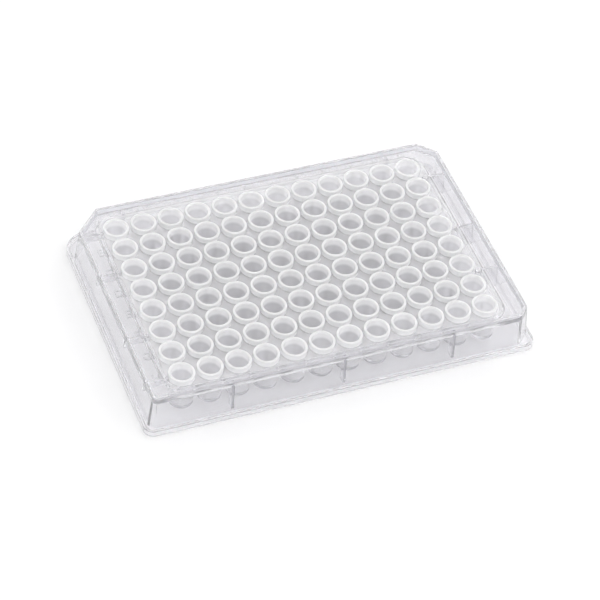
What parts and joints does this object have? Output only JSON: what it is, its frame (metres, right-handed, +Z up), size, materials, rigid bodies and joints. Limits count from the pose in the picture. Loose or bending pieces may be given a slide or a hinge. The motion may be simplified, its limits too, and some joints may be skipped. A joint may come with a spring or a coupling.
{
  "type": "well plate",
  "caption": "Clear laboratory well plate: a grid of flat-bottomed round wells in a walled tray on a stepped flange, with cut corners.",
  "frame": {"origin": "middle of the rectangular footprint, on the table under the flange", "axes": "+X runs along the long side from the first column to the last, +Y from the last row to the first, +Z up out of the wells"},
  "size_m": [0.1278, 0.0854, 0.0143],
  "materials": {
    "clear_plastic": "clear, glossy moulded polystyrene"
  },
  "bodies": {
    "root": {"well_plate": "clear_plastic"}
  },
  "joints": []
}
